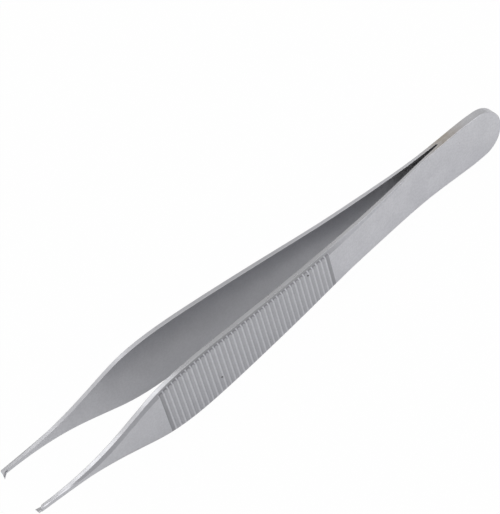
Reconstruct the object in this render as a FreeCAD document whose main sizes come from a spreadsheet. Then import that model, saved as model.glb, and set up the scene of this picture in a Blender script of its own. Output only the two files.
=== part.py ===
import FreeCAD, Part
import math
import os
import Sketcher

# Toothed thumb forceps: two spring arms welded face to face at the head, lying on their long edges.
# X runs from the tips to the head and Z is the width. Each arm is drawn in a frame of its own, with
# the tip at X 0, the plane between the arms at Y 0 and the outer face towards +Y.

V = FreeCAD.Vector

SIZES = {
    # Lengths along the arm, from the tip back to the head
    "slender_run": 8.0,
    "flare_run": 8.0,
    "shoulder_run": 8.0,
    "cheek_run": 7.0,
    "widest_run": 7.5,
    "taper_run": 14.5,
    "grip_rear_run": 19.5,
    "waist_run": 14.5,
    "fork_run": 17.5,
    "swell_run": 6.0,
    "end_run": 3.7,
    # Widths of the arm seen on its flat face
    "tip_width": 0.95,
    "slender_width": 1.25,
    "flare_width": 3.9,
    "shoulder_width": 8.8,
    "cheek_width": 12.3,
    "widest_width": 13.1,
    "taper_width": 11.7,
    "grip_rear_width": 9.5,
    "waist_width": 9.05,
    "fork_width": 10.7,
    "swell_width": 11.2,
    "end_width": 11.0,
    # Thicknesses of one arm
    "tip_thickness": 0.85,
    "slender_thickness": 1.1,
    "front_thickness": 1.3,
    "grip_thickness": 1.5,
    "grip_rear_thickness": 1.4,
    "waist_thickness": 1.0,
    "head_thickness": 0.95,
    # Bevels along the outer long edges
    "tip_bevel_width": 0.28,
    "tip_bevel_drop": 0.35,
    "front_bevel_drop": 0.45,
    "bevel_width": 0.75,
    "bevel_drop": 0.6,
    "waist_bevel_width": 0.4,
    "waist_bevel_drop": 0.25,
    "edge_break": 0.1,
    # Bow of the open arms
    "tip_gap": 11.44,
    "spring_angle": 4.83,
    "bow_radius": 710.0,
    # Round end of the gap at the fork, and how far its relief runs forwards
    "relief_radius": 0.2,
    "relief_run": 6.8,
    # Serrations across the grip
    "groove_start": 29.3,
    "groove_pitch": 1.153,
    "groove_count": 38,
    "groove_radius": 0.5,
    "groove_depth": 0.22,
    # Teeth
    "single_tooth_height": 0.35,
    "single_tooth_lead": 0.65,
    "single_tooth_root": 0.5,
    "single_tooth_width": 0.4,
    "nose_height": 0.7,
    "nose_lead": 0.55,
    "double_tooth_height": 0.9,
    "double_tooth_lead": 0.4,
    "double_tooth_root": 0.6,
    "tooth_point": 0.04,
    "tooth_clearance": 0.05,
    # Stock below the mid plane that the inner face is ground away from
    "stock": 0.5,
}

# Name of each cross section, its thickness, and the width and drop of its bevel
STATIONS = [
    ("tip", "tip_thickness", "tip_bevel_width", "tip_bevel_drop"),
    ("slender", "slender_thickness", "tip_bevel_width", "tip_bevel_drop"),
    ("flare", "front_thickness", "bevel_width", "front_bevel_drop"),
    ("shoulder", "front_thickness", "bevel_width", "front_bevel_drop"),
    ("cheek", "grip_thickness", "bevel_width", "bevel_drop"),
    ("widest", "grip_thickness", "bevel_width", "bevel_drop"),
    ("taper", "grip_thickness", "bevel_width", "bevel_drop"),
    ("grip_rear", "grip_rear_thickness", "bevel_width", "bevel_drop"),
    ("waist", "waist_thickness", "waist_bevel_width", "waist_bevel_drop"),
    ("fork", "head_thickness", "edge_break", "edge_break"),
    ("swell", "head_thickness", "edge_break", "edge_break"),
    ("end", "head_thickness", "edge_break", "edge_break"),
]
MARGIN = 30.0

doc = FreeCAD.newDocument("thumb_forceps")


def make_sheet():
    sheet = doc.addObject("Spreadsheet::Sheet", "Sizes")
    for row, (alias, size) in enumerate(SIZES.items(), start=1):
        sheet.set(f"A{row}", alias)
        sheet.set(f"B{row}", str(size))
        sheet.setAlias(f"B{row}", alias)
    doc.recompute()
    return sheet


def derive(name, expression):
    """Adds a length that is worked out from the sheet."""
    places.addProperty("App::PropertyFloat", name)
    places.setExpression(name, expression)


def make_places():
    """Works out where the cross sections lie and how high the inner face is over the mid plane."""
    for number, (name, *_) in enumerate(STATIONS):
        before = STATIONS[number - 1][0]
        derive(f"{name}_at", f"{before}_at + Sizes.{name}_run" if number else "0")
    slope = "tan(Sizes.spring_angle * 1deg)"
    derive("bend_end", f"fork_at - (Sizes.tip_gap / 2 - Sizes.bow_radius * "
                       f"(1 - cos(Sizes.spring_angle * 1deg))) / {slope}")
    derive("bend_start", "bend_end - Sizes.bow_radius * sin(Sizes.spring_angle * 1deg)")
    derive("bend_end_height", f"(fork_at - bend_end) * {slope}")
    derive("back_end", "end_at + Sizes.end_width / 2")
    derive("front_lead", "max(Sizes.single_tooth_lead; Sizes.double_tooth_lead)")
    for name, *_ in STATIONS:
        at = f"{name}_at"
        bowed = f"Sizes.tip_gap / 2 - Sizes.bow_radius + sqrt(Sizes.bow_radius^2 - ({at} - bend_start)^2)"
        straight = f"(fork_at - {at}) * {slope}"
        open_part = f"({at} > bend_end ? {straight} : {bowed})"
        ahead = f"({at} > bend_start ? {open_part} : Sizes.tip_gap / 2)"
        derive(f"{name}_inner", f"{at} >= fork_at ? 0 : {ahead}")
    doc.recompute()


def new_sketch(body, name, plane):
    sketch = body.newObject("Sketcher::SketchObject", name)
    support = next(item for item in body.Origin.OriginFeatures if item.Role == plane)
    sketch.AttachmentSupport = [(support, "")]
    sketch.MapMode = "FlatFace"
    return sketch


def dimension(sketch, kind, places_in_sketch, name, expression):
    """Adds a sketch dimension that follows the sheet."""
    size = float(places.evalExpression(expression))
    index = sketch.addConstraint(Sketcher.Constraint(kind, *places_in_sketch, size))
    sketch.renameConstraint(index, name)
    sketch.setExpression(f"Constraints.{name}", expression)


def closed_outline(sketch, points):
    """Draws straight lines round the points and joins them."""
    count = len(points)
    for start, end in zip(points, points[1:] + points[:1]):
        sketch.addGeometry(Part.LineSegment(V(*start, 0), V(*end, 0)))
    for line in range(count):
        sketch.addConstraint(Sketcher.Constraint("Coincident", line, 2, (line + 1) % count, 1))


def cross_section(body, label, station):
    """Draws the six-cornered section of the arm at one place along it."""
    name, thickness, bevel_width, bevel_drop = station
    sketch = new_sketch(body, f"{label}_{name}", "YZ_Plane")
    sketch.setExpression("AttachmentOffset.Base.z", f"Places.{name}_at")
    outer = f"Places.{name}_inner + Sizes.{thickness}"
    edge = f"{outer} - Sizes.{bevel_drop}"
    width = f"Sizes.{name}_width"
    face = f"{width} - 2 * Sizes.{bevel_width}"
    low = -sheet.stock
    y_outer, y_edge = places.evalExpression(outer), places.evalExpression(edge)
    half, half_face = places.evalExpression(width) / 2, places.evalExpression(face) / 2
    closed_outline(sketch, [(low, -half), (y_edge, -half), (y_outer, -half_face),
                            (y_outer, half_face), (y_edge, half), (low, half)])
    for lower, upper in ((0, 5), (1, 4), (2, 3)):
        sketch.addConstraint(Sketcher.Constraint("Symmetric", lower, 1, upper, 1, -1))
    dimension(sketch, "DistanceX", (5, 1, -1, 1), "below", "Sizes.stock")
    dimension(sketch, "DistanceX", (-1, 1, 4, 1), "edge", edge)
    dimension(sketch, "DistanceX", (-1, 1, 3, 1), "outer", outer)
    dimension(sketch, "DistanceY", (0, 1, 5, 1), "inner_width", width)
    dimension(sketch, "DistanceY", (1, 1, 4, 1), "edge_width", width)
    dimension(sketch, "DistanceY", (2, 1, 3, 1), "face_width", face)
    return sketch


def loft_blank(body, label):
    """Lofts the forged blank of the arm, with its bevels, from tip to head."""
    sections = [cross_section(body, label, station) for station in STATIONS]
    doc.recompute()
    blank = body.newObject("PartDesign::AdditiveLoft", f"{label}_blank")
    blank.Profile = (sections[0], [""])
    blank.Sections = [(section, [""]) for section in sections[1:]]
    blank.Ruled = False
    doc.recompute()
    return blank


def symmetric_pocket(body, name, sketch):
    pocket = body.newObject("PartDesign::Pocket", name)
    pocket.Profile = (sketch, [""])
    pocket.SideType = "Symmetric"
    pocket.Type = "ThroughAll"
    doc.recompute()
    return pocket


def pad_both_ways(body, name, sketch, length):
    pad = body.newObject("PartDesign::Pad", name)
    pad.Profile = (sketch, [""])
    pad.SideType = "Symmetric"
    pad.Type = "Length"
    pad.setExpression("Length", length)
    doc.recompute()
    return pad


def grind_inner_face(body, label):
    """Cuts away all that lies inside the inner face: straight tip, bow, spring and weld plane."""
    sketch = new_sketch(body, f"{label}_inner", "XY_Plane")
    half_gap = sheet.tip_gap / 2
    rise = math.radians(sheet.spring_angle)
    start, end, end_height = places.bend_start, places.bend_end, places.bend_end_height
    fork, back, low = places.fork_at, places.back_end + MARGIN, -2 * sheet.stock
    centre = V(start, half_gap - sheet.bow_radius, 0)
    points = [V(-MARGIN, low, 0), V(-MARGIN, half_gap, 0), V(start, half_gap, 0),
              V(end, end_height, 0), V(fork, 0, 0), V(back, 0, 0), V(back, low, 0)]
    sketch.addGeometry(Part.LineSegment(points[0], points[1]))
    sketch.addGeometry(Part.LineSegment(points[1], points[2]))
    circle = Part.Circle(centre, V(0, 0, 1), sheet.bow_radius)
    sketch.addGeometry(Part.ArcOfCircle(circle, math.pi / 2 - rise, math.pi / 2))
    sketch.addGeometry(Part.LineSegment(points[3], points[4]))
    sketch.addGeometry(Part.LineSegment(points[4], points[5]))
    sketch.addGeometry(Part.LineSegment(points[5], points[6]))
    sketch.addGeometry(Part.LineSegment(points[6], points[0]))
    for join in ((0, 2, 1, 1), (3, 2, 4, 1), (4, 2, 5, 1), (5, 2, 6, 1), (6, 2, 0, 1)):
        sketch.addConstraint(Sketcher.Constraint("Coincident", *join))
    sketch.addConstraint(Sketcher.Constraint("Tangent", 1, 2, 2, 2))
    sketch.addConstraint(Sketcher.Constraint("Tangent", 2, 1, 3, 1))
    for upright in (0, 5):
        sketch.addConstraint(Sketcher.Constraint("Vertical", upright))
    for level in (1, 6):
        sketch.addConstraint(Sketcher.Constraint("Horizontal", level))
    for on_plane in ((3, 2), (4, 2)):
        sketch.addConstraint(Sketcher.Constraint("PointOnObject", *on_plane, -1))
    dimension(sketch, "DistanceX", (0, 1, -1, 1), "front_margin", f"{MARGIN}")
    dimension(sketch, "DistanceX", (-1, 1, 4, 2), "back_margin", f"Places.back_end + {MARGIN}")
    dimension(sketch, "DistanceY", (0, 1, -1, 1), "below", "2 * Sizes.stock")
    dimension(sketch, "DistanceY", (-1, 1, 1, 1), "half_gap", "Sizes.tip_gap / 2")
    dimension(sketch, "DistanceX", (-1, 1, 3, 2), "fork", "Places.fork_at")
    dimension(sketch, "DistanceX", (-1, 1, 1, 2), "bend_start", "Places.bend_start")
    dimension(sketch, "Radius", (2,), "bow", "Sizes.bow_radius")
    return symmetric_pocket(body, f"{label}_gap", sketch)


def relieve_fork(body, label):
    """Grinds the inner face back a little ahead of the weld, so that the gap ends round."""
    sketch = new_sketch(body, f"{label}_relief", "XY_Plane")
    slope = "tan(Sizes.spring_angle * 1deg)"
    ease = f"(Sizes.relief_run * {slope} - Sizes.relief_radius) / (Sizes.relief_run - Sizes.relief_radius)"
    begin = "Places.fork_at - Sizes.relief_run - Sizes.stock"
    height = f"Sizes.relief_run * {slope} + Sizes.stock * {ease}"
    fork, radius, low = places.fork_at, sheet.relief_radius, -sheet.stock
    front, rise = places.evalExpression(begin), places.evalExpression(height)
    corners = [V(fork, low, 0), V(front, low, 0), V(front, rise, 0), V(fork - radius, radius, 0)]
    for start, end in zip(corners, corners[1:]):
        sketch.addGeometry(Part.LineSegment(start, end))
    circle = Part.Circle(V(fork - radius, 0, 0), V(0, 0, 1), radius)
    sketch.addGeometry(Part.ArcOfCircle(circle, 0, math.pi / 2))
    sketch.addGeometry(Part.LineSegment(V(fork, 0, 0), corners[0]))
    for join in ((0, 2, 1, 1), (1, 2, 2, 1), (2, 2, 3, 2), (3, 1, 4, 1), (4, 2, 0, 1)):
        sketch.addConstraint(Sketcher.Constraint("Coincident", *join))
    sketch.addConstraint(Sketcher.Constraint("Horizontal", 0))
    for upright in (1, 4):
        sketch.addConstraint(Sketcher.Constraint("Vertical", upright))
    for on_plane in ((3, 1), (3, 3)):
        sketch.addConstraint(Sketcher.Constraint("PointOnObject", *on_plane, -1))
    dimension(sketch, "DistanceX", (-1, 1, 3, 1), "fork", "Places.fork_at")
    dimension(sketch, "DistanceX", (3, 3, 3, 1), "reach", "Sizes.relief_radius")
    dimension(sketch, "DistanceX", (-1, 1, 2, 2), "top", "Places.fork_at - Sizes.relief_radius")
    dimension(sketch, "DistanceX", (-1, 1, 1, 2), "front", begin)
    dimension(sketch, "DistanceY", (-1, 1, 1, 2), "rise", height)
    dimension(sketch, "DistanceY", (0, 1, -1, 1), "below", "Sizes.stock")
    return symmetric_pocket(body, f"{label}_fork", sketch)


def round_head_end(body, label):
    """Closes the head with half a turn of its last cross section."""
    sketch = new_sketch(body, f"{label}_round", "YZ_Plane")
    sketch.setExpression("AttachmentOffset.Base.z", "Places.end_at")
    outer, low = sheet.head_thickness, -sheet.stock
    rim, broken = sheet.end_width / 2, sheet.edge_break
    closed_outline(sketch, [(low, 0), (outer, 0), (outer, rim - broken), (outer - broken, rim), (low, rim)])
    for level in (0, 3):
        sketch.addConstraint(Sketcher.Constraint("Horizontal", level))
    for upright in (1, 4):
        sketch.addConstraint(Sketcher.Constraint("Vertical", upright))
    sketch.addConstraint(Sketcher.Constraint("PointOnObject", 0, 1, -1))
    dimension(sketch, "DistanceX", (0, 1, -1, 1), "below", "Sizes.stock")
    dimension(sketch, "DistanceX", (-1, 1, 1, 1), "outer", "Sizes.head_thickness")
    dimension(sketch, "DistanceX", (-1, 1, 3, 1), "edge", "Sizes.head_thickness - Sizes.edge_break")
    dimension(sketch, "DistanceY", (-1, 1, 2, 1), "face", "Sizes.end_width / 2 - Sizes.edge_break")
    dimension(sketch, "DistanceY", (-1, 1, 3, 1), "rim", "Sizes.end_width / 2")
    turned = body.newObject("PartDesign::Revolution", f"{label}_end")
    turned.Profile = (sketch, [""])
    turned.ReferenceAxis = (sketch, ["H_Axis"])
    turned.Angle = 180
    doc.recompute()
    return turned


def cut_serrations(body, label):
    """Cuts round-bottomed grooves across the outer face, spread round the centre of the bow."""
    sketch = new_sketch(body, f"{label}_groove", "XY_Plane")
    outer_radius = "(Sizes.bow_radius + Sizes.grip_thickness)"
    sketch.setExpression("AttachmentOffset.Base.x", "Places.bend_start")
    sketch.setExpression("AttachmentOffset.Base.y", "Sizes.tip_gap / 2 - Sizes.bow_radius")
    lean = f"asin((Sizes.groove_start - Places.bend_start) / {outer_radius})"
    height = f"{outer_radius} + Sizes.groove_radius - Sizes.groove_depth"
    radius = places.evalExpression(height)
    angle = math.asin((sheet.groove_start - places.bend_start)
                      / (sheet.bow_radius + sheet.grip_thickness))
    centre = V(radius * math.sin(angle), radius * math.cos(angle), 0)
    sketch.addGeometry(Part.Circle(centre, V(0, 0, 1), sheet.groove_radius))
    dimension(sketch, "Radius", (0,), "groove_radius", "Sizes.groove_radius")
    dimension(sketch, "DistanceX", (-1, 1, 0, 3), "along", f"({height}) * sin({lean})")
    dimension(sketch, "DistanceY", (-1, 1, 0, 3), "above", f"({height}) * cos({lean})")
    groove = symmetric_pocket(body, f"{label}_first_groove", sketch)
    pattern = body.newObject("PartDesign::PolarPattern", f"{label}_serrations")
    pattern.Originals = [groove]
    pattern.Axis = (sketch, ["N_Axis"])
    pattern.Mode = "Spacing"
    pattern.Reversed = True
    pattern.setExpression("Offset", f"Sizes.groove_pitch / {outer_radius} * 1rad")
    pattern.setExpression("Occurrences", "Sizes.groove_count")
    body.Tip = pattern
    doc.recompute()
    return pattern


def clear_end(body, label):
    """Slopes the inner face off at the end, where the other arm's teeth go past."""
    sketch = new_sketch(body, f"{label}_end_side", "XY_Plane")
    run = "(Sizes.double_tooth_root + Sizes.tooth_clearance)"
    slope = "Sizes.double_tooth_height / (Sizes.double_tooth_root + Sizes.double_tooth_lead)"
    rise = f"Places.tip_inner + ({run} + Sizes.stock) * {slope}"
    face, ahead = places.tip_inner, -sheet.stock
    start, top = places.evalExpression(run), places.evalExpression(rise)
    closed_outline(sketch, [(start, face), (ahead, face), (ahead, top)])
    sketch.addConstraint(Sketcher.Constraint("Horizontal", 0))
    sketch.addConstraint(Sketcher.Constraint("Vertical", 1))
    dimension(sketch, "DistanceX", (-1, 1, 0, 1), "run", run)
    dimension(sketch, "DistanceY", (-1, 1, 0, 1), "face", "Places.tip_inner")
    dimension(sketch, "DistanceX", (1, 1, -1, 1), "ahead", "Sizes.stock")
    dimension(sketch, "DistanceY", (-1, 1, 2, 1), "rise", rise)
    return symmetric_pocket(body, f"{label}_clear_end", sketch)


def single_tooth(body, label):
    """Adds one wedge in the middle of the end and slopes it to a point, inwards and forwards."""
    clear_end(body, label)
    face = places.tip_inner
    crest, nose = face - sheet.single_tooth_height, face + sheet.nose_height
    point, width, lead = sheet.tooth_point / 2, sheet.single_tooth_width / 2, sheet.single_tooth_lead
    front = new_sketch(body, f"{label}_tooth_front", "YZ_Plane")
    closed_outline(front, [(crest, -point), (nose, -width), (nose, width), (crest, point)])
    for lower, upper in ((0, 3), (1, 2)):
        front.addConstraint(Sketcher.Constraint("Symmetric", lower, 1, upper, 1, -1))
    dimension(front, "DistanceX", (-1, 1, 0, 1), "crest", "Places.tip_inner - Sizes.single_tooth_height")
    dimension(front, "DistanceX", (-1, 1, 1, 1), "nose", "Places.tip_inner + Sizes.nose_height")
    dimension(front, "DistanceY", (0, 1, 3, 1), "tooth_point", "Sizes.tooth_point")
    dimension(front, "DistanceY", (1, 1, 2, 1), "tooth_width", "Sizes.single_tooth_width")
    pad_both_ways(body, f"{label}_wedge", front, "2 * Sizes.single_tooth_lead")
    side = new_sketch(body, f"{label}_tooth_side", "XY_Plane")
    ahead, behind, below = -lead - sheet.stock, lead + sheet.stock, crest - sheet.stock
    closed_outline(side, [(behind, face), (sheet.single_tooth_root, face), (-lead, crest),
                          (-sheet.nose_lead, nose), (ahead, nose), (ahead, below), (behind, below)])
    for level in (0, 3, 5):
        side.addConstraint(Sketcher.Constraint("Horizontal", level))
    for upright in (4, 6):
        side.addConstraint(Sketcher.Constraint("Vertical", upright))
    dimension(side, "DistanceX", (-1, 1, 0, 1), "behind", "Sizes.single_tooth_lead + Sizes.stock")
    dimension(side, "DistanceY", (-1, 1, 0, 1), "face", "Places.tip_inner")
    dimension(side, "DistanceX", (-1, 1, 1, 1), "root", "Sizes.single_tooth_root")
    dimension(side, "DistanceX", (2, 1, -1, 1), "lead", "Sizes.single_tooth_lead")
    dimension(side, "DistanceY", (-1, 1, 2, 1), "crest", "Places.tip_inner - Sizes.single_tooth_height")
    dimension(side, "DistanceX", (3, 1, -1, 1), "nose_lead", "Sizes.nose_lead")
    dimension(side, "DistanceY", (-1, 1, 3, 1), "nose", "Places.tip_inner + Sizes.nose_height")
    dimension(side, "DistanceX", (4, 1, -1, 1), "ahead", "Sizes.single_tooth_lead + Sizes.stock")
    dimension(side, "DistanceY", (5, 1, 2, 1), "below", "Sizes.stock")
    return symmetric_pocket(body, f"{label}_tooth", side)


def double_tooth(body, label):
    """Adds a beak and parts it into two teeth with the notch that the single tooth goes in."""
    sketch = new_sketch(body, f"{label}_beak_side", "XY_Plane")
    seat = "Sizes.tip_thickness - Sizes.tip_bevel_drop"
    root, lead = sheet.double_tooth_root, sheet.double_tooth_lead
    face = places.tip_inner
    crest = face - sheet.double_tooth_height
    top = face + places.evalExpression(seat)
    bed = face + places.evalExpression(seat) / 2
    closed_outline(sketch, [(root, bed), (root, face), (-lead, crest), (0, top)])
    sketch.addConstraint(Sketcher.Constraint("Vertical", 0))
    sketch.addConstraint(Sketcher.Constraint("PointOnObject", 3, 1, -2))
    dimension(sketch, "DistanceX", (-1, 1, 0, 1), "root", "Sizes.double_tooth_root")
    dimension(sketch, "DistanceY", (-1, 1, 0, 1), "bed", f"Places.tip_inner + ({seat}) / 2")
    dimension(sketch, "DistanceY", (-1, 1, 1, 1), "face", "Places.tip_inner")
    dimension(sketch, "DistanceX", (2, 1, -1, 1), "lead", "Sizes.double_tooth_lead")
    dimension(sketch, "DistanceY", (-1, 1, 2, 1), "crest", "Places.tip_inner - Sizes.double_tooth_height")
    dimension(sketch, "DistanceY", (-1, 1, 3, 1), "top", f"Places.tip_inner + {seat}")
    pad_both_ways(body, f"{label}_beak", sketch, "Sizes.tip_width")
    notch = new_sketch(body, f"{label}_notch_front", "YZ_Plane")
    depth = "(Sizes.single_tooth_height + Sizes.tooth_clearance)"
    bottom = "(Sizes.tooth_point + 2 * Sizes.tooth_clearance)"
    wedge = "(Sizes.single_tooth_height + Sizes.nose_height)"
    spread = f"(Sizes.single_tooth_width - Sizes.tooth_point) / {wedge}"
    mouth = f"{bottom} + {spread} * ({depth} + Sizes.double_tooth_height)"
    half_mouth, half_bottom = places.evalExpression(mouth) / 2, places.evalExpression(bottom) / 2
    deepest = face + places.evalExpression(depth)
    closed_outline(notch, [(crest, -half_mouth), (deepest, -half_bottom),
                           (deepest, half_bottom), (crest, half_mouth)])
    for lower, upper in ((0, 3), (1, 2)):
        notch.addConstraint(Sketcher.Constraint("Symmetric", lower, 1, upper, 1, -1))
    dimension(notch, "DistanceX", (-1, 1, 0, 1), "crest", "Places.tip_inner - Sizes.double_tooth_height")
    dimension(notch, "DistanceX", (-1, 1, 1, 1), "deepest", f"Places.tip_inner + {depth}")
    dimension(notch, "DistanceY", (0, 1, 3, 1), "mouth", mouth)
    dimension(notch, "DistanceY", (1, 1, 2, 1), "bottom", bottom)
    pocket = body.newObject("PartDesign::Pocket", f"{label}_notch")
    pocket.Profile = (notch, [""])
    pocket.SideType = "Symmetric"
    pocket.Type = "Length"
    pocket.setExpression("Length", "2 * (Sizes.double_tooth_root + Sizes.double_tooth_lead)")
    doc.recompute()
    return pocket


def build_arm(label, teeth, turn):
    """Builds one arm and lays it on its own side of the plane between the arms."""
    body = doc.addObject("PartDesign::Body", label)
    body.Label = label
    loft_blank(body, label)
    round_head_end(body, label)
    grind_inner_face(body, label)
    relieve_fork(body, label)
    teeth(body, label)
    cut_serrations(body, label)
    body.Placement = FreeCAD.Placement(V(), FreeCAD.Rotation(V(1, 0, 0), turn))
    body.setExpression("Placement.Base.x", "-(Places.back_end - Places.front_lead) / 2")
    body.setExpression("Placement.Base.z", "Sizes.widest_width / 2")
    doc.recompute()
    return body


def check_objects():
    for item in doc.Objects:
        if "Invalid" in item.State or "Error" in item.State:
            raise RuntimeError(f"{item.Name} failed: {item.State}")
    for body in arms:
        if body.Shape.isNull() or not body.Shape.isValid() or len(body.Shape.Solids) != 1:
            raise RuntimeError(f"{body.Label} isn't one valid solid")


sheet = make_sheet()
places = doc.addObject("App::VarSet", "Places")
make_places()
arms = [build_arm("single_tooth_arm", single_tooth, 180), build_arm("double_tooth_arm", double_tooth, 0)]
check_objects()
os.makedirs("parts", exist_ok=True)
for arm in arms:
    arm.Shape.exportStep(f"parts/{arm.Label}.step")
    box = arm.Shape.optimalBoundingBox()
    print(arm.Label, round(arm.Shape.Volume, 2), [round(edge, 3) for edge in (
        box.XMin, box.XMax, box.YMin, box.YMax, box.ZMin, box.ZMax)])
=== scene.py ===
import math

import bpy
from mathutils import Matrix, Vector


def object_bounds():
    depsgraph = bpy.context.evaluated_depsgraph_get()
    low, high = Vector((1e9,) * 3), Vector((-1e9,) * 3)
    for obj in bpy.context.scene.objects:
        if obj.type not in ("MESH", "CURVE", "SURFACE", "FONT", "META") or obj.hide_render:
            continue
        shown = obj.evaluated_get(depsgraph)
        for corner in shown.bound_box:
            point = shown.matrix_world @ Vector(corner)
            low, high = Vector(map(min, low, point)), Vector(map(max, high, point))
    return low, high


# Toothed thumb forceps of satin stainless steel, lying on their long edges on a white table.
# X runs from the tips to the welded head, Y from the near arm to the far arm, Z is up.

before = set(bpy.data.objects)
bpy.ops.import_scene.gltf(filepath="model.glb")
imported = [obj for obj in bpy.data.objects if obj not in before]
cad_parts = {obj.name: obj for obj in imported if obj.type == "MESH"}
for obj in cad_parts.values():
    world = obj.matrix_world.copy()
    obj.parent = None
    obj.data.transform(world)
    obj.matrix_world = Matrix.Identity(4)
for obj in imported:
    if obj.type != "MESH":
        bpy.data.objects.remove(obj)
cad_low, cad_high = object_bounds()
MM = 0.001

# The steel's colours
SATIN_STEEL = (0.735, 0.738, 0.772, 1.0)
SATIN_STEEL_CLOUD = (0.700, 0.703, 0.737, 1.0)
# Painted shade on the front half, where less light falls, and on the faces between the arms
FRONT_SHADE_STEEL = (0.628, 0.632, 0.662, 1.0)
# Painted shade on the faces between the arms, deepening going back
INNER_SHADE_STEEL = (0.548, 0.552, 0.578, 1.0)
# Painted shade on the bevels, darker because of the way they face
BEVEL_SHADE_STEEL = (0.405, 0.405, 0.415, 1.0)
# Darker groove floors: partly painted shade in the recesses, partly a duller finish
GROOVE_SHADE_AND_FINISH = (0.550, 0.553, 0.580, 1.0)
# Painted shade in the grooves' mouths on the bevels and in the first and last groove
GROOVE_MOUTH_SHADE = (0.33, 0.33, 0.35, 1.0)
# Lighter ridges: partly a painted highlight on the crests, partly polished crests
RIDGE_HIGHLIGHT_AND_POLISH = (0.715, 0.718, 0.752, 1.0)
WORN_EDGE_STEEL = (0.63, 0.63, 0.63, 1.0)
# Painted light on the faces between the arms near the fork, lifting the shade there
GAP_LIGHT_STEEL = (0.88, 0.88, 0.89, 1.0)
WELD_TINT = (0.52, 0.475, 0.425, 1.0)
MOTTLE_STEEL = (0.35, 0.35, 0.37, 1.0)
MOTTLE_SHARE = 0.14
PIT_DARK = (0.16, 0.16, 0.17, 1.0)

# The sizes of the grain, the mottle and the clouds that blasting leaves, and how high the grain stands
GRAIN_SIZE = 0.10 * MM
MOTTLE_SIZE = 0.45 * MM
CLOUD_SIZE = 4.5 * MM
GRAIN_HARDNESS = 0.6
GRAIN_BUMP = 0.25
GRAIN_HEIGHT = 0.004 * MM

# How finely a noise is broken up, and the levels that turn it into clouds or into patches
FINE_DETAIL = 3.0
SOFT_DETAIL = 2.0
CLOUD_LEVELS = (0.34, 0.66)
PATCH_LEVELS = (0.3, 0.7)

# Where the painted shade on the front half, where less light falls, is whole and where it is gone, and its
# patches
SHADE_WHOLE_X = 4.0 * MM
SHADE_GONE_X = 20.0 * MM
SHADE_PATCH_SIZE = 6.0 * MM
SHADE_THINNEST = 0.75

# How squarely a face has to look inwards to count as an inner face
INWARD_LEVELS = (-0.9, -0.7)

# Where the painted shade on the inner faces begins, going back, and how far ahead of the fork their painted
# light begins
INNER_START_X = -46.0 * MM
INNER_END_X = -18.0 * MM
GAP_REACH = 26.0 * MM

# Where the painted shade on the bevels begins, how much of it the tips have, and where it fades towards the
# head
BEVEL_START_X = -33.0 * MM
BEVEL_TIP_SHARE = 0.35
BEVEL_END_X = 6.0 * MM
BEVEL_FADE = 16.0 * MM

# How far the bevels and the long edges face up or down
BEVEL_TILT_BEGINS = (0.3, 0.45)
BEVEL_TILT_ENDS = (0.8, 0.92)
LONG_EDGE_TILT = (0.85, 0.93)

# How far back the tips are smooth, and how much of the grain is polished away there and on the long edges
SMOOTH_END_X = -46.0 * MM
SMOOTH_FADE = 10.0 * MM
SMOOTH_SHARE = 0.8

# How far the edges look rounded, and how far wear reaches from an edge
EDGE_ROUNDING = 0.12 * MM
WEAR_REACH = 0.10 * MM
EDGE_SAMPLES = 6

# How sharply a surface turns where it is worn, and how the wear is broken up
WEAR_TURN = (0.80, 0.99)
WEAR_BREAK_SIZE = 1.0 * MM
WEAR_BREAK_LEVELS = (0.35, 0.6)
WEAR_THINNEST = 0.35

# The satin's roughness, and what clouds, grooves, worn edges and long edges add to it
SATIN_ROUGHNESS = 0.32
CLOUD_ROUGHNESS = 0.08
GROOVE_ROUGHNESS = 0.10
EDGE_POLISH = -0.03
LONG_EDGE_POLISH = -0.07

# The far arm's share of the long edges' polish, which is below nothing because they are dull there,
# and the width over which the near arm's share turns into it
FAR_EDGE_POLISH = -0.8
ARM_CHANGE = 1.0 * MM

# The bow of the arms and the serrations that are spread round its centre, as they were cut
HALF_GAP = 5.72 * MM
BOW_RADIUS = 710.0 * MM
BOW_START_X = -52.665 * MM
BLADE_THICKNESS = 1.5 * MM
FIRST_GROOVE_X = -30.225 * MM
GROOVE_PITCH = 1.153 * MM
GROOVE_COUNT = 38
GROOVE_DEPTH = 0.22 * MM

# How far a groove's floor reaches to each side, in pitches, and how much that wanders
GROOVE_SHARE = (0.29, 0.42)
GROOVE_WANDER = 0.08
GROOVE_WANDER_SIZE = 0.9 * MM

# How far the marks reach past the first and the last groove, in pitches
ROW_END_REACH = 0.55
ROW_END_FADE = 0.1

# How far below the grooves' floors the marks still show, and how fast they fade there
MOUTH_REACH = 0.14 * MM
MOUTH_FADE = 0.08 * MM

# How far a groove's mouth faces up or down where it is painted dark as shade, and how dark and wide the
# painted shade of the first and last groove is
MOUTH_TILT = (0.15, 0.45)
END_GROOVE_SHARE = 0.55
END_GROOVE_WIDTH = (0.42, 0.5)

# Where the two blades part, and how the heat of the weld has tinted their long edges
FORK_X = 44.98 * MM
TINT_REACH = 7.0 * MM
TINT_CENTRE_SHARE = 0.25
TINT_TILT = (0.6, 0.9)
TINT_PATCH_SIZE = 1.2 * MM
TINT_THINNEST = 0.7

# Small pits in the near grip: place on the face and radius
PITS = [
    ((6.98 * MM, -4.64 * MM, 10.3 * MM), 0.26 * MM),
    ((3.48 * MM, -4.95 * MM, 12.05 * MM), 0.30 * MM),
    ((-17.27 * MM, -6.34 * MM, 4.3 * MM), 0.28 * MM),
]

# How large the notches in a pit's rim are, and where the rim begins and ends in shares of its radius
RIM_SIZE = 0.15 * MM
RIM_LEVELS = (0.1, 0.7)

# The faint specks: how far apart they could lie, how few of them show, and how wide and dark they are
SPECK_SPACING = 1.6 * MM
SPECK_CHOICE = (0.86, 0.90)
SPECK_WIDTH = (0.03, 0.09)
SPECK_DARK = 0.45

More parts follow.
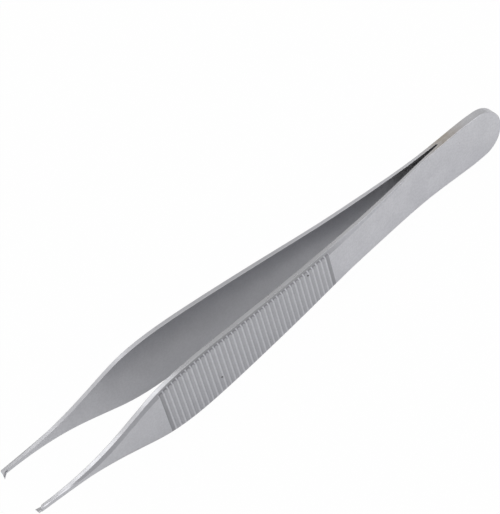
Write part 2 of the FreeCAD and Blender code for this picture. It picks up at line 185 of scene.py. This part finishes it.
# The tent's colours, and each soft box: name, place, aim, width, height and brightness
TENT_FRONT = (0.545, 0.545, 0.560, 1.0)
TENT_BACK = (0.530, 0.525, 0.510, 1.0)
SOFT_BOXES = [
    ("overhead_soft_box", (0.0, -0.1, 1.2), (0.0, 0.0, 0.0), 1.0, 1.0, 0.9),
    ("tip_soft_box", (-0.075, 0.36, 0.48), (-0.035, 0.0, 0.01), 0.24, 0.14, 1.3),
    ("head_soft_box", (0.30, -0.20, 0.30), (0.05, 0.0, 0.0), 0.25, 0.25, 0.95),
]

# The table, and how much of plain white it shows to the camera and in the steel
TABLE_REACH = 3.0
TABLE_DROP = 0.02 * MM
PAPER_WHITE = (0.9, 0.9, 0.9, 1.0)
PAPER_ROUGHNESS = 0.9
PURE_WHITE = (1.0, 1.0, 1.0, 1.0)
CAMERA_GLOW = 0.98
MIRROR_GLOW = 0.15

# The photograph's view
IMAGE_HEIGHT = 514
CAMERA_AT = (-135.60 * MM, -260.52 * MM, 327.73 * MM)
CAMERA_TURN = (42.244, 11.681, -39.879)
FOCAL_PIXELS = 2308.1
SENSOR = 36.0
PIXEL_CENTRE = 0.5
NEAREST, FARTHEST = 0.01, 20.0


def make_group(name, inputs, outputs):
    """Starts a shader node group with named sockets."""
    group = bpy.data.node_groups.new(name, "ShaderNodeTree")
    for socket, kind, default in inputs:
        made = group.interface.new_socket(name=socket, in_out="INPUT", socket_type=kind)
        made.default_value = default
    for socket, kind in outputs:
        group.interface.new_socket(name=socket, in_out="OUTPUT", socket_type=kind)
    return group, group.nodes.new("NodeGroupInput"), group.nodes.new("NodeGroupOutput")


def add_math(tree, operation, *values):
    """Adds a Math node and gives its result."""
    node = tree.nodes.new("ShaderNodeMath")
    node.operation = operation
    for socket, value in zip(node.inputs, values):
        if isinstance(value, (int, float)):
            socket.default_value = value
        else:
            tree.links.new(value, socket)
    return node.outputs[0]


def add_ramp(tree, value, start, end, low=0.0, high=1.0):
    """Adds a smooth step of a value from one level to another."""
    node = tree.nodes.new("ShaderNodeMapRange")
    node.interpolation_type = "SMOOTHSTEP"
    tree.links.new(value, node.inputs["Value"])
    for socket, number in (("From Min", start), ("From Max", end), ("To Min", low), ("To Max", high)):
        node.inputs[socket].default_value = number
    return node.outputs["Result"]


def add_noise(tree, place, size, detail, roughness=0.5):
    """Adds a noise whose grains are about the given size in metres."""
    node = tree.nodes.new("ShaderNodeTexNoise")
    node.inputs["Scale"].default_value = 1.0 / size
    node.inputs["Detail"].default_value = detail
    node.inputs["Roughness"].default_value = roughness
    tree.links.new(place, node.inputs["Vector"])
    return node.outputs["Fac"]


def add_mix(tree, share, first, second):
    """Adds a colour mix, from the first colour to the second."""
    node = tree.nodes.new("ShaderNodeMix")
    node.data_type = "RGBA"
    tree.links.new(share, node.inputs["Factor"])
    for socket, colour in (("A", first), ("B", second)):
        if isinstance(colour, tuple):
            node.inputs[socket].default_value = colour
        else:
            tree.links.new(colour, node.inputs[socket])
    return node.outputs["Result"]


def add_group(tree, group, **values):
    """Places a node group with its own values."""
    node = tree.nodes.new("ShaderNodeGroup")
    node.node_tree = group
    for name, value in values.items():
        node.inputs[name.replace("_", " ")].default_value = value
    return node


def add_place(group):
    """Gives the point on the piece, and its three coordinates."""
    place = group.nodes.new("ShaderNodeTexCoord").outputs["Object"]
    parts = group.nodes.new("ShaderNodeSeparateXYZ")
    group.links.new(place, parts.inputs["Vector"])
    return place, parts.outputs["X"], parts.outputs["Y"], parts.outputs["Z"]


def add_facing(group):
    """Gives the three parts of the surface's normal."""
    facing = group.nodes.new("ShaderNodeSeparateXYZ")
    group.links.new(group.nodes.new("ShaderNodeNewGeometry").outputs["Normal"], facing.inputs["Vector"])
    return facing.outputs["X"], facing.outputs["Y"], facing.outputs["Z"]


def add_tilt(group):
    """Gives how far the surface faces up or down: none on an upright face, one on a level one."""
    return add_math(group, "ABSOLUTE", add_facing(group)[2])


def make_blast_grain():
    """The fine grain that glass-bead blasting leaves, its mottle, and the soft clouds of its strokes."""
    group, start, end = make_group(
        "blast grain",
        [("Grain", "NodeSocketFloat", 1.0)],
        [("Height", "NodeSocketFloat"), ("Mottle", "NodeSocketFloat"), ("Cloud", "NodeSocketFloat")])
    place, *_ = add_place(group)
    grain = add_noise(group, place, GRAIN_SIZE, FINE_DETAIL, GRAIN_HARDNESS)
    height = add_math(group, "MULTIPLY", grain, start.outputs["Grain"])
    mottle = add_ramp(group, add_noise(group, place, MOTTLE_SIZE, SOFT_DETAIL), *CLOUD_LEVELS)
    strokes = add_ramp(group, add_noise(group, place, CLOUD_SIZE, FINE_DETAIL), *CLOUD_LEVELS)
    group.links.new(height, end.inputs["Height"])
    group.links.new(mottle, end.inputs["Mottle"])
    group.links.new(strokes, end.inputs["Cloud"])
    return group


def make_serration_marks():
    """Finds the grooves' floors, the ridges between them and the grooves' mouths, on either arm, which
    carry painted shade in the grooves and a painted highlight on the ridges.
    """
    group, _, end = make_group(
        "serration marks", [],
        [("Groove", "NodeSocketFloat"), ("Ridge", "NodeSocketFloat"), ("Mouth", "NodeSocketFloat")])
    place, x, y, _ = add_place(group)
    along = add_math(group, "SUBTRACT", x, BOW_START_X)
    across = add_math(group, "ADD", add_math(group, "ABSOLUTE", y), BOW_RADIUS - HALF_GAP)
    face_radius = BOW_RADIUS + BLADE_THICKNESS
    first_angle = math.asin((FIRST_GROOVE_X - BOW_START_X) / face_radius)
    turn = add_math(group, "SUBTRACT", add_math(group, "ARCTAN2", along, across), first_angle)
    count = add_math(group, "DIVIDE", turn, GROOVE_PITCH / face_radius)
    off_nearest = add_math(group, "SUBTRACT", count, add_math(group, "ROUND", count))
    off_centre = add_math(group, "ABSOLUTE", off_nearest)
    unevenness = add_noise(group, place, GROOVE_WANDER_SIZE, SOFT_DETAIL)
    wander = add_math(group, "MULTIPLY_ADD", unevenness, GROOVE_WANDER, -0.5 * GROOVE_WANDER)
    off_centre = add_math(group, "ADD", off_centre, wander)
    floor = add_ramp(group, off_centre, *GROOVE_SHARE, 1.0, 0.0)
    ridge = add_ramp(group, off_centre, *GROOVE_SHARE)
    last = GROOVE_COUNT - 1
    begun = add_ramp(group, count, -ROW_END_REACH, -ROW_END_REACH + ROW_END_FADE)
    ended = add_ramp(group, count, last + ROW_END_REACH - ROW_END_FADE, last + ROW_END_REACH, 1.0, 0.0)
    rows = add_math(group, "MULTIPLY", begun, ended)
    square = add_math(group, "ADD", add_math(group, "MULTIPLY", along, along),
                      add_math(group, "MULTIPLY", across, across))
    radius = add_math(group, "SQRT", square)
    deepest = face_radius - GROOVE_DEPTH - MOUTH_REACH
    cut = add_ramp(group, radius, deepest - MOUTH_FADE, deepest)
    outside = add_math(group, "MULTIPLY", rows, cut)
    groove = add_math(group, "MULTIPLY", floor, outside)
    bevel = add_ramp(group, add_tilt(group), *MOUTH_TILT)
    from_first = add_math(group, "ABSOLUTE", count)
    from_last = add_math(group, "ABSOLUTE", add_math(group, "SUBTRACT", count, last))
    from_end = add_math(group, "MINIMUM", from_first, from_last)
    at_end = add_ramp(group, from_end, *END_GROOVE_WIDTH, END_GROOVE_SHARE, 0.0)
    mouth = add_math(group, "MULTIPLY", groove, add_math(group, "MAXIMUM", bevel, at_end))
    group.links.new(groove, end.inputs["Groove"])
    group.links.new(add_math(group, "MULTIPLY", ridge, outside), end.inputs["Ridge"])
    group.links.new(mouth, end.inputs["Mouth"])
    return group


def make_edge_wear():
    """Finds the sharp edges that handling has worn, broken up as real wear is, and rounds all edges."""
    group, start, end = make_group(
        "edge wear",
        [("Reach", "NodeSocketFloat", WEAR_REACH), ("Rounding", "NodeSocketFloat", EDGE_ROUNDING),
         ("Break scale", "NodeSocketFloat", 1.0 / WEAR_BREAK_SIZE)],
        [("Wear", "NodeSocketFloat"), ("Rounded", "NodeSocketVector")])
    place, *_ = add_place(group)
    sharp = group.nodes.new("ShaderNodeBevel")
    rounded = group.nodes.new("ShaderNodeBevel")
    for edge, radius in ((sharp, "Reach"), (rounded, "Rounding")):
        edge.samples = EDGE_SAMPLES
        group.links.new(start.outputs[radius], edge.inputs["Radius"])
    shape = group.nodes.new("ShaderNodeNewGeometry")
    turned = group.nodes.new("ShaderNodeVectorMath")
    turned.operation = "DOT_PRODUCT"
    group.links.new(sharp.outputs["Normal"], turned.inputs[0])
    group.links.new(shape.outputs["Normal"], turned.inputs[1])
    edge = add_ramp(group, turned.outputs["Value"], *WEAR_TURN, 1.0, 0.0)
    break_up = group.nodes.new("ShaderNodeTexNoise")
    break_up.inputs["Detail"].default_value = FINE_DETAIL
    group.links.new(place, break_up.inputs["Vector"])
    group.links.new(start.outputs["Break scale"], break_up.inputs["Scale"])
    patches = add_ramp(group, break_up.outputs["Fac"], *WEAR_BREAK_LEVELS, WEAR_THINNEST, 1.0)
    group.links.new(add_math(group, "MULTIPLY", edge, patches), end.inputs["Wear"])
    group.links.new(rounded.outputs["Normal"], end.inputs["Rounded"])
    return group


def make_painted_shading():
    """Finds where light and shade are painted: shade on the front half and on the faces between the arms,
    light on those faces near the fork.
    """
    group, _, end = make_group(
        "painted shading", [],
        [("Shade", "NodeSocketFloat"), ("Inner", "NodeSocketFloat"), ("Gap", "NodeSocketFloat")])
    place, x, y, _ = add_place(group)
    front = add_ramp(group, x, SHADE_WHOLE_X, SHADE_GONE_X, 1.0, 0.0)
    _, across, _ = add_facing(group)
    inwards = add_math(group, "MULTIPLY", across, add_math(group, "SIGN", y))
    inner = add_ramp(group, inwards, *INWARD_LEVELS, 1.0, 0.0)
    unevenness = add_noise(group, place, SHADE_PATCH_SIZE, SOFT_DETAIL)
    patches = add_ramp(group, unevenness, *PATCH_LEVELS, SHADE_THINNEST, 1.0)
    painted_shading = add_math(group, "MULTIPLY", add_math(group, "MAXIMUM", front, inner), patches)
    painted_shade = add_math(group, "MULTIPLY", inner, add_ramp(group, x, INNER_START_X, INNER_END_X))
    painted_gap_light = add_math(group, "MULTIPLY", inner, add_ramp(group, x, FORK_X - GAP_REACH, FORK_X))
    group.links.new(painted_shading, end.inputs["Shade"])
    group.links.new(painted_shade, end.inputs["Inner"])
    group.links.new(painted_gap_light, end.inputs["Gap"])
    return group


def make_weld_tint():
    """The brown tint that the heat of the weld left on the long edges round the fork."""
    group, _, end = make_group("weld tint", [], [("Tint", "NodeSocketFloat")])
    place, x, _, _ = add_place(group)
    long_edge = add_ramp(group, add_tilt(group), *TINT_TILT)
    centre = FORK_X + TINT_CENTRE_SHARE * TINT_REACH
    away = add_math(group, "ABSOLUTE", add_math(group, "SUBTRACT", x, centre))
    near = add_ramp(group, away, 0.0, TINT_REACH, 1.0, 0.0)
    unevenness = add_noise(group, place, TINT_PATCH_SIZE, SOFT_DETAIL)
    patches = add_ramp(group, unevenness, *PATCH_LEVELS, TINT_THINNEST, 1.0)
    tint = add_math(group, "MULTIPLY", add_math(group, "MULTIPLY", long_edge, near), patches)
    group.links.new(tint, end.inputs["Tint"])
    return group


def make_edge_shade_and_finish():
    """Finds the bevels, which get painted shade, the long edges, polished on the near arm, and where the
    grain is gone.
    """
    group, _, end = make_group(
        "edge shade and finish", [],
        [("Bevel", "NodeSocketFloat"), ("Polish", "NodeSocketFloat"), ("Smooth", "NodeSocketFloat")])
    _, x, y, _ = add_place(group)
    tilt = add_tilt(group)
    tilted = add_ramp(group, tilt, *BEVEL_TILT_BEGINS)
    not_level = add_ramp(group, tilt, *BEVEL_TILT_ENDS, 1.0, 0.0)
    band = add_math(group, "MULTIPLY", tilted, not_level)
    front = add_ramp(group, x, BEVEL_START_X, BEVEL_START_X + BEVEL_FADE / 2.0, BEVEL_TIP_SHARE, 1.0)
    back = add_ramp(group, x, BEVEL_END_X, BEVEL_END_X + BEVEL_FADE, 1.0, 0.0)
    painted_shade = add_math(group, "MULTIPLY", band, add_math(group, "MULTIPLY", front, back))
    near = add_ramp(group, y, -ARM_CHANGE, 0.0, 1.0, FAR_EDGE_POLISH)
    long_edge = add_ramp(group, tilt, *LONG_EDGE_TILT)
    half_fade = SMOOTH_FADE / 2.0
    slender = add_ramp(group, x, SMOOTH_END_X - half_fade, SMOOTH_END_X + half_fade, 1.0, 0.0)
    group.links.new(painted_shade, end.inputs["Bevel"])
    group.links.new(add_math(group, "MULTIPLY", near, long_edge), end.inputs["Polish"])
    group.links.new(add_math(group, "MAXIMUM", long_edge, slender), end.inputs["Smooth"])
    return group


def make_pits():
    """A few small corrosion pits in the grip, and a scatter of fainter specks."""
    group, _, end = make_group("pits", [], [("Pit", "NodeSocketFloat")])
    place, *_ = add_place(group)
    ragged = group.nodes.new("ShaderNodeTexNoise")
    ragged.inputs["Scale"].default_value = 1.0 / RIM_SIZE
    group.links.new(place, ragged.inputs["Vector"])
    depth = None
    for centre, radius in PITS:
        far = group.nodes.new("ShaderNodeVectorMath")
        far.operation = "DISTANCE"
        far.inputs[1].default_value = centre
        group.links.new(place, far.inputs[0])
        rim = add_math(group, "MULTIPLY", ragged.outputs["Fac"], radius)
        inside = add_math(group, "SUBTRACT", far.outputs["Value"], rim)
        rim_start, rim_end = (level * radius for level in RIM_LEVELS)
        pit = add_ramp(group, inside, rim_start, rim_end, 1.0, 0.0)
        depth = pit if depth is None else add_math(group, "MAXIMUM", depth, pit)
    speck = group.nodes.new("ShaderNodeTexVoronoi")
    speck.inputs["Scale"].default_value = 1.0 / SPECK_SPACING
    group.links.new(place, speck.inputs["Vector"])
    chosen = group.nodes.new("ShaderNodeSeparateColor")
    group.links.new(speck.outputs["Color"], chosen.inputs["Color"])
    rare = add_ramp(group, chosen.outputs["Red"], *SPECK_CHOICE)
    small = add_ramp(group, speck.outputs["Distance"], *SPECK_WIDTH, SPECK_DARK, 0.0)
    faint = add_math(group, "MULTIPLY", rare, small)
    group.links.new(add_math(group, "MAXIMUM", depth, faint), end.inputs["Pit"])
    return group


def make_satin_steel(grain, marks, wear, painted_shading, tint, shade_and_finish, pits):
    """The steel of both arms: its colours, its roughness and its fine relief."""
    material = bpy.data.materials.new("satin_steel")
    material.use_nodes = True
    tree = material.node_tree
    shader = tree.nodes["Principled BSDF"]
    shader.inputs["Metallic"].default_value = 1.0
    blasted = add_group(tree, grain)
    serrated = add_group(tree, marks)
    worn = add_group(tree, wear, Reach=WEAR_REACH, Rounding=EDGE_ROUNDING)
    shaded = add_group(tree, painted_shading)
    heated = add_group(tree, tint)
    edge_shade_and_finish = add_group(tree, shade_and_finish)
    pitted = add_group(tree, pits)

    colour = add_mix(tree, blasted.outputs["Cloud"], SATIN_STEEL, SATIN_STEEL_CLOUD)
    # Painted shade on the front half and on the faces between the arms
    colour = add_mix(tree, shaded.outputs["Shade"], colour, FRONT_SHADE_STEEL)
    # Painted shade on the faces between the arms
    colour = add_mix(tree, shaded.outputs["Inner"], colour, INNER_SHADE_STEEL)
    # Painted light on the faces between the arms near the fork
    colour = add_mix(tree, shaded.outputs["Gap"], colour, GAP_LIGHT_STEEL)
    # Painted shade on the bevels
    colour = add_mix(tree, edge_shade_and_finish.outputs["Bevel"], colour, BEVEL_SHADE_STEEL)
    # Groove floors: partly painted shade, partly a duller finish
    colour = add_mix(tree, serrated.outputs["Groove"], colour, GROOVE_SHADE_AND_FINISH)
    # Ridges: partly a painted highlight, partly polished crests
    colour = add_mix(tree, serrated.outputs["Ridge"], colour, RIDGE_HIGHLIGHT_AND_POLISH)
    colour = add_mix(tree, heated.outputs["Tint"], colour, WELD_TINT)
    colour = add_mix(tree, worn.outputs["Wear"], colour, WORN_EDGE_STEEL)
    # Painted shade in the grooves' mouths
    colour = add_mix(tree, serrated.outputs["Mouth"], colour, GROOVE_MOUTH_SHADE)
    grained = add_math(tree, "MULTIPLY_ADD", edge_shade_and_finish.outputs["Smooth"], -SMOOTH_SHARE, 1.0)
    speckled = add_math(tree, "MULTIPLY", blasted.outputs["Mottle"], grained)
    specks = add_math(tree, "MULTIPLY", speckled, MOTTLE_SHARE)
    colour = add_mix(tree, specks, colour, MOTTLE_STEEL)
    colour = add_mix(tree, pitted.outputs["Pit"], colour, PIT_DARK)
    tree.links.new(colour, shader.inputs["Base Color"])

    rough = add_math(tree, "MULTIPLY_ADD", blasted.outputs["Cloud"], CLOUD_ROUGHNESS, SATIN_ROUGHNESS)
    rough = add_math(tree, "MULTIPLY_ADD", serrated.outputs["Groove"], GROOVE_ROUGHNESS, rough)
    rough = add_math(tree, "MULTIPLY_ADD", worn.outputs["Wear"], EDGE_POLISH, rough)
    rough = add_math(tree, "MULTIPLY_ADD", edge_shade_and_finish.outputs["Polish"], LONG_EDGE_POLISH, rough)
    tree.links.new(rough, shader.inputs["Roughness"])

    grain_height = add_math(tree, "MULTIPLY", blasted.outputs["Height"], grained)
    height = add_math(tree, "SUBTRACT", grain_height, pitted.outputs["Pit"])
    bump = tree.nodes.new("ShaderNodeBump")
    bump.inputs["Strength"].default_value = GRAIN_BUMP
    bump.inputs["Distance"].default_value = GRAIN_HEIGHT
    tree.links.new(height, bump.inputs["Height"])
    tree.links.new(worn.outputs["Rounded"], bump.inputs["Normal"])
    tree.links.new(bump.outputs["Normal"], shader.inputs["Normal"])
    return material


def make_table():
    """A white table that shows the forceps' shadow faintly, as a light table does."""
    mesh = bpy.data.meshes.new("table")
    reach, top = TABLE_REACH, cad_low.z - TABLE_DROP
    corners = [(-reach, -reach, top), (reach, -reach, top), (reach, reach, top), (-reach, reach, top)]
    mesh.from_pydata(corners, [], [(0, 1, 2, 3)])
    table = bpy.data.objects.new("table", mesh)
    bpy.context.scene.collection.objects.link(table)
    material = bpy.data.materials.new("white_table")
    material.use_nodes = True
    tree = material.node_tree
    paper = tree.nodes["Principled BSDF"]
    paper.inputs["Base Color"].default_value = PAPER_WHITE
    paper.inputs["Roughness"].default_value = PAPER_ROUGHNESS
    paper.inputs["Specular IOR Level"].default_value = 0.0
    glow = tree.nodes.new("ShaderNodeEmission")
    glow.inputs["Strength"].default_value = 1.0
    rays = tree.nodes.new("ShaderNodeLightPath")
    mirrored = add_math(tree, "MAXIMUM", rays.outputs["Is Glossy Ray"], rays.outputs["Is Transmission Ray"])
    in_steel = add_math(tree, "MULTIPLY", mirrored, MIRROR_GLOW)
    in_view = add_math(tree, "MULTIPLY", rays.outputs["Is Camera Ray"], CAMERA_GLOW)
    share = add_math(tree, "MAXIMUM", in_steel, in_view)
    blend = tree.nodes.new("ShaderNodeMixShader")
    tree.links.new(share, blend.inputs["Fac"])
    tree.links.new(paper.outputs["BSDF"], blend.inputs[1])
    tree.links.new(glow.outputs["Emission"], blend.inputs[2])
    tree.links.new(blend.outputs["Shader"], tree.nodes["Material Output"].inputs["Surface"])
    mesh.materials.append(material)


def add_panel(name, place, aim, width, height, brightness):
    """A soft box of a given brightness, turned to the aim and unseen by the camera itself."""
    lamp = bpy.data.lights.new(name, "AREA")
    lamp.shape = "RECTANGLE"
    lamp.size, lamp.size_y = width, height
    lamp.energy = brightness * math.pi * width * height
    panel = bpy.data.objects.new(name, lamp)
    panel.location = place
    panel.rotation_euler = (Vector(aim) - Vector(place)).to_track_quat("-Z", "Y").to_euler()
    panel.visible_camera = False
    bpy.context.scene.collection.objects.link(panel)


def make_studio():
    """A grey tent, a little brighter and cooler at the front, and the soft boxes."""
    world = bpy.data.worlds.new("studio")
    bpy.context.scene.world = world
    world.use_nodes = True
    tree = world.node_tree
    way = tree.nodes.new("ShaderNodeTexCoord").outputs["Generated"]
    parts = tree.nodes.new("ShaderNodeSeparateXYZ")
    tree.links.new(way, parts.inputs["Vector"])
    to_back = tree.nodes.new("ShaderNodeMapRange")
    to_back.inputs["From Min"].default_value = -1.0
    to_back.inputs["From Max"].default_value = 1.0
    tree.links.new(parts.outputs["Y"], to_back.inputs["Value"])
    tent = add_mix(tree, to_back.outputs["Result"], TENT_FRONT, TENT_BACK)
    in_view = tree.nodes.new("ShaderNodeLightPath").outputs["Is Camera Ray"]
    seen = add_mix(tree, in_view, tent, PURE_WHITE)
    tree.links.new(seen, tree.nodes["Background"].inputs["Color"])
    for box in SOFT_BOXES:
        add_panel(*box)


def make_camera():
    """The photograph's view, with a pixel's place counted from its centre."""
    lens = bpy.data.cameras.new("camera")
    lens.sensor_fit = "VERTICAL"
    lens.sensor_height = SENSOR
    lens.lens = FOCAL_PIXELS * SENSOR / IMAGE_HEIGHT
    lens.shift_x = -PIXEL_CENTRE / IMAGE_HEIGHT
    lens.shift_y = PIXEL_CENTRE / IMAGE_HEIGHT
    lens.clip_start, lens.clip_end = NEAREST, FARTHEST
    camera = bpy.data.objects.new("camera", lens)
    camera.location = CAMERA_AT
    camera.rotation_euler = [math.radians(turn) for turn in CAMERA_TURN]
    bpy.context.scene.collection.objects.link(camera)
    bpy.context.scene.camera = camera


steel = make_satin_steel(make_blast_grain(), make_serration_marks(), make_edge_wear(),
                         make_painted_shading(), make_weld_tint(), make_edge_shade_and_finish(), make_pits())
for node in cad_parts.values():
    node.data.materials.clear()
    node.data.materials.append(steel)
make_table()
make_studio()
make_camera()

bpy.context.scene.view_settings.view_transform = "Standard"
